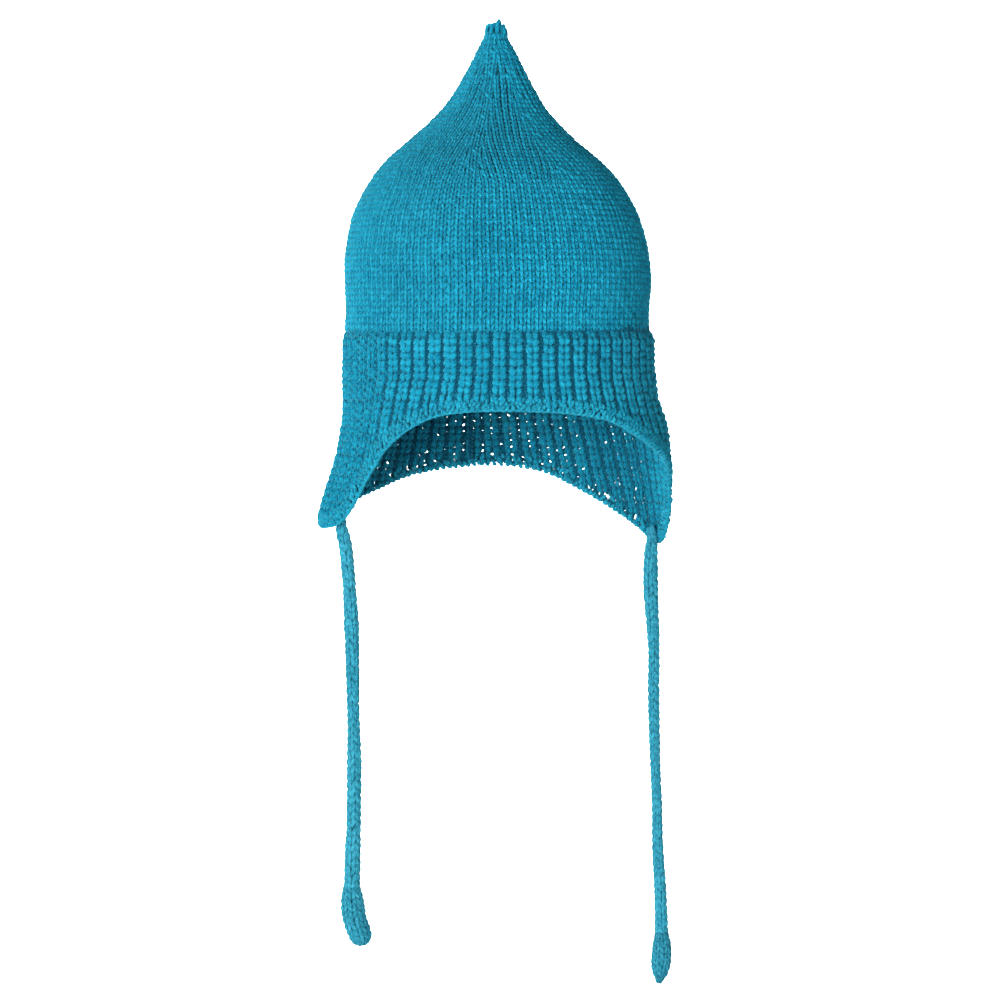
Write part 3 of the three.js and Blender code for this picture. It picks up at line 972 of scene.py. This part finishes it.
def flattened(azimuth, height):
    """How far the ribbing is pulled flat: near the hem, and on the flaps."""
    near_hem = 1 - np.clip((height - rib_foot(azimuth)) / RIB_FADE, 0, 1)
    return np.maximum(near_hem * (1 - 0.7 * at_back(azimuth)), over_ear(azimuth))


def band_at(start, height, out):
    """A point of the column that starts at this azimuth, at a height and out from the band's middle."""
    azimuth = rib_azimuth(start, height)
    inset = shoulder_inset(BAND_TOP - height)
    return place(azimuth, band_face(azimuth, height) - BAND_MIDDLE - inset + out, height), around(azimuth)


def column_width(start, height):
    """How wide a column is there, where one is its width under the crown."""
    turn = RIB_TURN_PER_MM * np.maximum(0, RIB_TURN_HEIGHT - height)
    return 1 + 2 * np.radians(turn) * np.cos(2 * np.radians(start))


def band_loops(strands, column, row):
    """Knit columns turn their loops out and purl columns turn them in. A loop is made in two halves."""
    knit = column % 2 == 1
    start = FIRST_COLUMN + column * COLUMN_ANGLE
    base = BAND_TOP - YARN_GAP - (row + 1) * BAND_ROW
    base = base + np.where(knit, 0.0, 0.5) * BAND_ROW + jitter(len(row), BAND_ROW_DRIFT * BAND_ROW)
    facing = np.where(knit, 1.0, -1.0)[:, None]
    size = 1 + jitter(len(row), STITCH_SIZES)[:, None]
    lift = jitter(len(row), STITCH_LIFT)[:, None]
    tone = draws.random(len(row))
    on_flap = over_ear(start)[:, None]
    behind = at_back(start)[:, None]
    splayed = 0.14 + 0.36 * np.clip(HALF_LOOP[:, 1], 0, 1)
    aside = 0.9 * HALF_LOOP[:, 0]
    aside = aside + 0.8 * on_flap * (splayed - aside)
    # How steeply the painted light falls to painted shade towards a loop's ends: less at the back, more on
    # the flaps.
    shade_power = 1.3 - 0.3 * behind + 1.25 * on_flap
    for side in (-1, 1):
        shift = jitter(len(row), 0.2)[:, None]
        across = start[:, None] + (side * aside + 0.6 * shift) * COLUMN_ANGLE
        height = base[:, None] + (HALF_LOOP[:, 1] + shift) * BAND_ROW
        foot = rib_foot(across) - 2.4 - 1.7 * at_back(across)
        height = np.maximum(height, foot)
        flat = flattened(across, height)
        relief = 1 - 0.8 * flat
        emerging = np.clip((BAND_TOP - height) / 4.5, 0.15, 1)
        out = HALF_LOOP[:, 2] * facing * relief * emerging + flat * 0.75 + lift
        lines, outward = band_at(across, height, out)
        squeeze = np.clip(column_width(across, height), 0.5, 1.15)
        squeeze = squeeze * (1 - 0.4 * flat) * (1.13 - 0.13 * behind)
        # Painted shade: darker between the rows, under the crown's edge where the loops emerge, and on the
        # purl loops at the back. The roots keep more painted light where the ribbing lies flat and on the
        # flaps.
        inward = facing < 0
        strands.add(
            lines,
            outward * facing[..., None],
            HALF_LOOP[:, 3] * squeeze * size,
            HALF_LOOP[:, 4] * (1 - 0.2 * flat),
            tone=np.clip(tone + jitter(len(row), TONE_SPREAD), 0, 1),
            crest=LOOP_PAINTED_LIGHT**shade_power * (0.45 + 0.55 * emerging) * (1 - 0.36 * behind * inward),
            root=ROOT_SHADE + 0.35 * flat + 0.05 * behind + (0.57 * on_flap - 0.07) * inward,
        )
    fillers(strands, column, start, base)


def fillers(strands, column, start, base):
    """Yarn across the loops at the back, which leaves the small gaps that light comes through."""
    behind = (start > FILLED_FROM) & (start < FILLED_TO)
    column, start, base = column[behind], start[behind], base[behind]
    foot = rib_foot(start)
    is_open = draws.random(len(start)) < np.interp(start, *zip(*OPEN_LOOPS))
    last = np.abs(base - foot + 0.1 * BAND_ROW) < 0.5 * BAND_ROW
    is_open = np.where(last, (column % 3 != 0) & (draws.random(len(start)) < 0.8), is_open)
    top = np.where(is_open, LEAST_FILLED + 0.2 * draws.random(len(start)) - 0.12 * last, 1.2)
    wanted = base > foot - 1.6 * BAND_ROW
    start, base, top, foot = (values[wanted][:, None] for values in (start, base, top, foot))
    share = np.array([0, 0.25, 0.75, 1])
    height = np.maximum(base + (0.1 + share * (top - 0.1)) * BAND_ROW, foot - 3.6)
    across = start + jitter(height.shape, 0.12) * COLUMN_ANGLE
    lines, outward = band_at(across, height, 0 * height)
    # The filler yarn is painted mostly in shade.
    strands.add(lines, outward, (0.75, 1.1, 1.1, 0.75), 0.5, sides=4, crest=0.25)


def band_lining():
    """The web between the ribs, on all sides but the back, where the ribbing is stretched open."""
    azimuth = np.linspace(*WEB_ENDS, WEB_COLUMNS)
    foot = rib_foot(azimuth) - 2.0
    bm = bmesh.new()
    inner, outer = [], []
    for depth, rows in ((-WEB_HALF, inner), (WEB_HALF, outer)):
        for part in np.linspace(0, 1, WEB_ROWS):
            line, _ = band_at(azimuth, foot + part * (BAND_TOP - 0.6 - foot), depth)
            rows.append([bm.verts.new(point * MM) for point in line])
    ring = inner + outer[::-1]
    for low, high in zip(ring, ring[1:] + ring[:1]):
        for i in range(WEB_COLUMNS - 1):
            bm.faces.new((low[i], low[i + 1], high[i + 1], high[i]))
    for end in (0, -1):
        for i in range(WEB_ROWS - 1):
            bm.faces.new((inner[i][end], inner[i + 1][end], outer[i + 1][end], outer[i][end]))
    bmesh.ops.recalc_face_normals(bm, faces=bm.faces)
    # The web is painted almost wholly in shade: a dark sheet in the valleys between the ribs.
    return yarn_sheet(bm, "band_web", 0.08, ribbing)


columns, rows = stitch_grid(np.arange(BAND_COLUMNS), np.arange(MOST_ROWS))
column_start = FIRST_COLUMN + columns * COLUMN_ANGLE
lowest = rib_foot(column_start) - 1.6 - 1.9 * at_back(column_start)
reaches = BAND_TOP - 0.5 - (rows + 0.5) * BAND_ROW > lowest
columns, rows = columns[reaches], rows[reaches]
for name, part_of in (("band_ribs_upper", rows < UPPER_ROWS), ("band_ribs_lower", rows >= UPPER_ROWS)):
    loops = Strands()
    band_loops(loops, columns[part_of], rows[part_of])
    dress(loops.make(name, ribbing), "ribbing", "band")
web = dress(band_lining(), "ribbing", "band")
web_azimuths = np.arange(*WEB_ENDS)
web_depths = BAND_TOP - edge_height(web_azimuths)


# Back seam: the ridge of sewing inside the band

SEAM_AZIMUTH = -178
SEAM_TOP = 33
SEAM_THICKNESS = 1.8
SEAM_PITCH = 2.1


def seam_stitches():
    """Slanted stitches in two layers that cross, deep in the shade of the hat and painted wholly in shade.
    """
    low = float(rib_foot(SEAM_AZIMUTH)) - 1
    middle = np.arange(low + 1, SEAM_TOP - 1, SEAM_PITCH)[:, None]
    inside = band_face(SEAM_AZIMUTH, middle) - BAND_WALL - YARN_GAP - SEAM_THICKNESS / 2
    strands = Strands()
    for lean, depth in ((1, -0.25), (-1, 0.35)):
        table = np.array([  # across, up, half size
            (-1.35, -1.0 * lean, 0.45), (-0.6, -0.45 * lean, 0.72), (0.6, 0.45 * lean, 0.72),
            (1.35, 1.0 * lean, 0.45),
        ])
        azimuth = SEAM_AZIMUTH + np.degrees(table[:, 0] / inside)
        lines = place(azimuth, inside + depth, middle + table[:, 1])
        strands.add(lines, -around(azimuth), table[:, 2], table[:, 2], crest=0.05, root=0)
    return strands


dress(seam_stitches().make("back_seam_stitches", edging), "edging", "back_seam")


# Hem: the bound-off edge

LINK_PITCH = 3.4
KNOT_PITCH = 2.45
KNOT_TIERS = (2.2, 3.9, 5.5)  # how far above the edge each tier of them lies
RIM_STATIONS = 5
HEM_FINENESS = 1441
TURNED_LINK = np.array([  # along in links, up, out, half width, half thickness, towards: out, up
    (0.22, 2.5, 0.6, 0.9, 0.60, 1, 0),
    (0.10, 1.6, 1.0, 1.3, 0.75, 1, 0),
    (0.0, 0.95, 0.8, 1.5, 0.8, 1, -0.8),
    (-0.04, 0.74, 0.0, 1.5, 0.8, 0, -1),
    (0.0, 0.95, -0.8, 1.5, 0.8, -1, -0.8),
    (0.10, 1.6, -1.0, 1.3, 0.75, -1, 0),
    (0.22, 2.5, -0.6, 0.9, 0.60, -1, 0),
])
# Painted light along a link: painted shade at its ends.
LINK_PAINTED_LIGHT = np.array([0.3, 0.8, 1, 1, 1, 0.8, 0.3])
KNOT = np.array([  # along in links, up, out, half size
    (-0.10, -1.25, -0.7, 0.55), (-0.04, -0.6, 0.15, 1.0), (0.04, 0.6, 0.15, 1.0),
    (0.10, 1.25, -0.7, 0.55),
])
# Painted light along a knot: painted shade at its ends.
KNOT_PAINTED_LIGHT = np.array([0.3, 0.95, 0.95, 0.3])


def hem_line(azimuth):
    """The middle of the hem's lower edge."""
    height = edge_height(azimuth)
    return place(azimuth, band_face(azimuth, height) - HEM_INSET - HEM_WALL / 2, height)


def hem_stitches():
    """The rim, the links that turn over it, and three tiers of small knots on both faces above it."""
    fine = np.linspace(-180, 180, HEM_FINENESS)
    line = hem_line(fine)
    reach = np.concatenate([[0], np.cumsum(np.linalg.norm(np.diff(line, axis=0), axis=1))])
    links = int(round(reach[-1] / LINK_PITCH))
    pitch = reach[-1] / links

    def at(along, up, out):
        azimuth = np.interp((along * pitch) % reach[-1], reach, fine)
        ahead = np.interp((along * pitch + 1) % reach[-1], reach, fine)
        here = hem_line(azimuth)
        outward = around(azimuth)
        upward = unit(np.cross(outward, unit(hem_line(ahead) - here)))
        return here + upward * up[..., None] + outward * out[..., None], outward, upward

    def back_share(along):
        return at_back(np.interp((along * pitch) % reach[-1], reach, fine))

    strands = Strands()
    link = np.arange(links, dtype=float)
    rim = np.arange(0, links, 1 / RIM_STATIONS)[None]
    rim = np.concatenate([rim, rim[:, :1] + links], 1)
    level = 0.6 + 1.9 * back_share(rim)
    lines, outward, _ = at(rim, level + 0.16 * np.cos(2 * np.pi * rim), 0.3 * np.sin(2 * np.pi * rim))
    # The rim is painted darker at the back: painted shade inside the hat. Its roots keep much painted
    # light.
    strands.add(lines, outward, 0.8, 0.8, sides=5, crest=0.85 - 0.4 * back_share(rim), root=0.6)
    along = link[:, None] + TURNED_LINK[:, 0] + jitter((links, 1), 0.14)
    back = back_share(link)[:, None]
    up = TURNED_LINK[:, 1] + jitter((links, 1), 0.35) - 0.3 * back
    lines, outward, upward = at(along, up, TURNED_LINK[:, 2] + 0 * up)
    facing = outward * TURNED_LINK[:, 5:6] + upward * TURNED_LINK[:, 6:7]
    wide = TURNED_LINK[:, 3] * (1 - 0.22 * back)
    strands.add(lines, facing, wide, TURNED_LINK[:, 4], crest=LINK_PAINTED_LIGHT, root=0.3)
    knots = int(links * LINK_PITCH / KNOT_PITCH)
    for face in (1, -1):
        for tier, level in enumerate(KNOT_TIERS):
            step = (np.arange(knots) + 0.5 * tier + 0.5 * draws.random(knots)) * links / knots
            lean = 5 * (draws.random((knots, 1)) - 0.35)
            along = step[:, None] + lean * KNOT[:, 0]
            up = level + KNOT[:, 1] * 0.9 + jitter((knots, 1), 0.9)
            size = KNOT[:, 3] * (1.05 + jitter((knots, 1), 0.35))
            kept = draws.random(knots) > 0.7 * back_share(step) * (tier > 0)
            lift = 0.5 * draws.random((knots, 1)) - 0.2
            lines, outward, _ = at(along, up, face * (KNOT[:, 2] + 1.15 + lift))
            lines, outward, size = lines[kept], outward[kept], size[kept]
            strands.add(lines, outward * face, size, size * 0.85, sides=4, crest=KNOT_PAINTED_LIGHT, root=0.35)
    return strands


dress(hem_stitches().make("hem_stitches", edging), "edging", "hem")


# Floor, backdrop and light, in metres

STAGE_FRONT = -6
STAGE_HALF_WIDTH = 6
FLOOR_HEIGHT = -0.5
SWEEP_START = 2.4
SWEEP_RADIUS = 0.9
SWEEP_STEPS = 8
WALL_TOP = 3.2
PAPER = (0.96, 0.96, 0.96)
WORLD_FALL = (0, 0.35, 2.2, 0.0)  # from and to this height of the view, and the light at each
LAMPS = [  # name, place, aim, watts, size
    ("key", (-1.15, -2.1, 0.0), (0, 0, 0), 52, 1.0),
    ("backdrop", (0, 1.9, 1.3), (0, 3.4, 0.1), 230, 1.0),
]


def plain_material(name, colour):
    material = bpy.data.materials.new(name)
    material.use_nodes = True
    shader = material.node_tree.nodes["Principled BSDF"]
    shader.inputs["Base Color"].default_value = (*colour, 1)
    shader.inputs["Roughness"].default_value = 0.9
    return material


def make_stage():
    bm = bmesh.new()
    profile = [(STAGE_FRONT, FLOOR_HEIGHT)]
    for step in range(SWEEP_STEPS + 1):
        turn = step / SWEEP_STEPS * math.pi / 2
        rise = SWEEP_RADIUS * (1 - math.cos(turn))
        profile.append((SWEEP_START + SWEEP_RADIUS * math.sin(turn), FLOOR_HEIGHT + rise))
    profile.append((SWEEP_START + SWEEP_RADIUS, WALL_TOP))
    corners = [bm.verts.new((-STAGE_HALF_WIDTH, y, z)) for y, z in profile]
    edges = [bm.edges.new(pair) for pair in zip(corners, corners[1:])]
    moved = bmesh.ops.extrude_edge_only(bm, edges=edges)["geom"]
    moved = [part for part in moved if isinstance(part, bmesh.types.BMVert)]
    bmesh.ops.translate(bm, vec=(2 * STAGE_HALF_WIDTH, 0, 0), verts=moved)
    bmesh.ops.recalc_face_normals(bm, faces=bm.faces)
    mesh = bpy.data.meshes.new("studio_floor")
    bm.to_mesh(mesh)
    bm.free()
    mesh.shade_smooth()
    mesh.materials.append(plain_material("studio_paper", PAPER))
    linked("studio_floor", mesh)


def area_light(name, spot, target, power, size):
    data = bpy.data.lights.new(name, "AREA")
    data.energy = power
    data.shape = "DISK"
    data.size = size
    lamp = linked(name, data)
    lamp.location = spot
    aim = Vector(target) - Vector(spot)
    lamp.rotation_euler = aim.to_track_quat("-Z", "Y").to_euler()


def make_light():
    world = bpy.data.worlds.new("studio")
    world.use_nodes = True
    tree = world.node_tree
    spot = new_node(tree, "ShaderNodeTexCoord").outputs["Generated"]
    apart = new_node(tree, "ShaderNodeSeparateXYZ")
    tree.links.new(spot, apart.inputs[0])
    fall = new_node(tree, "ShaderNodeMapRange")
    for socket, value in zip(fall.inputs[1:5], WORLD_FALL):
        socket.default_value = value
    tree.links.new(apart.outputs[2], fall.inputs[0])
    tree.nodes["Background"].inputs[0].default_value = (1, 1, 1, 1)
    tree.links.new(fall.outputs[0], tree.nodes["Background"].inputs[1])
    bpy.context.scene.world = world
    for lamp in LAMPS:
        area_light(*lamp)


make_stage()
make_light()
bpy.context.scene.view_settings.view_transform = "Standard"
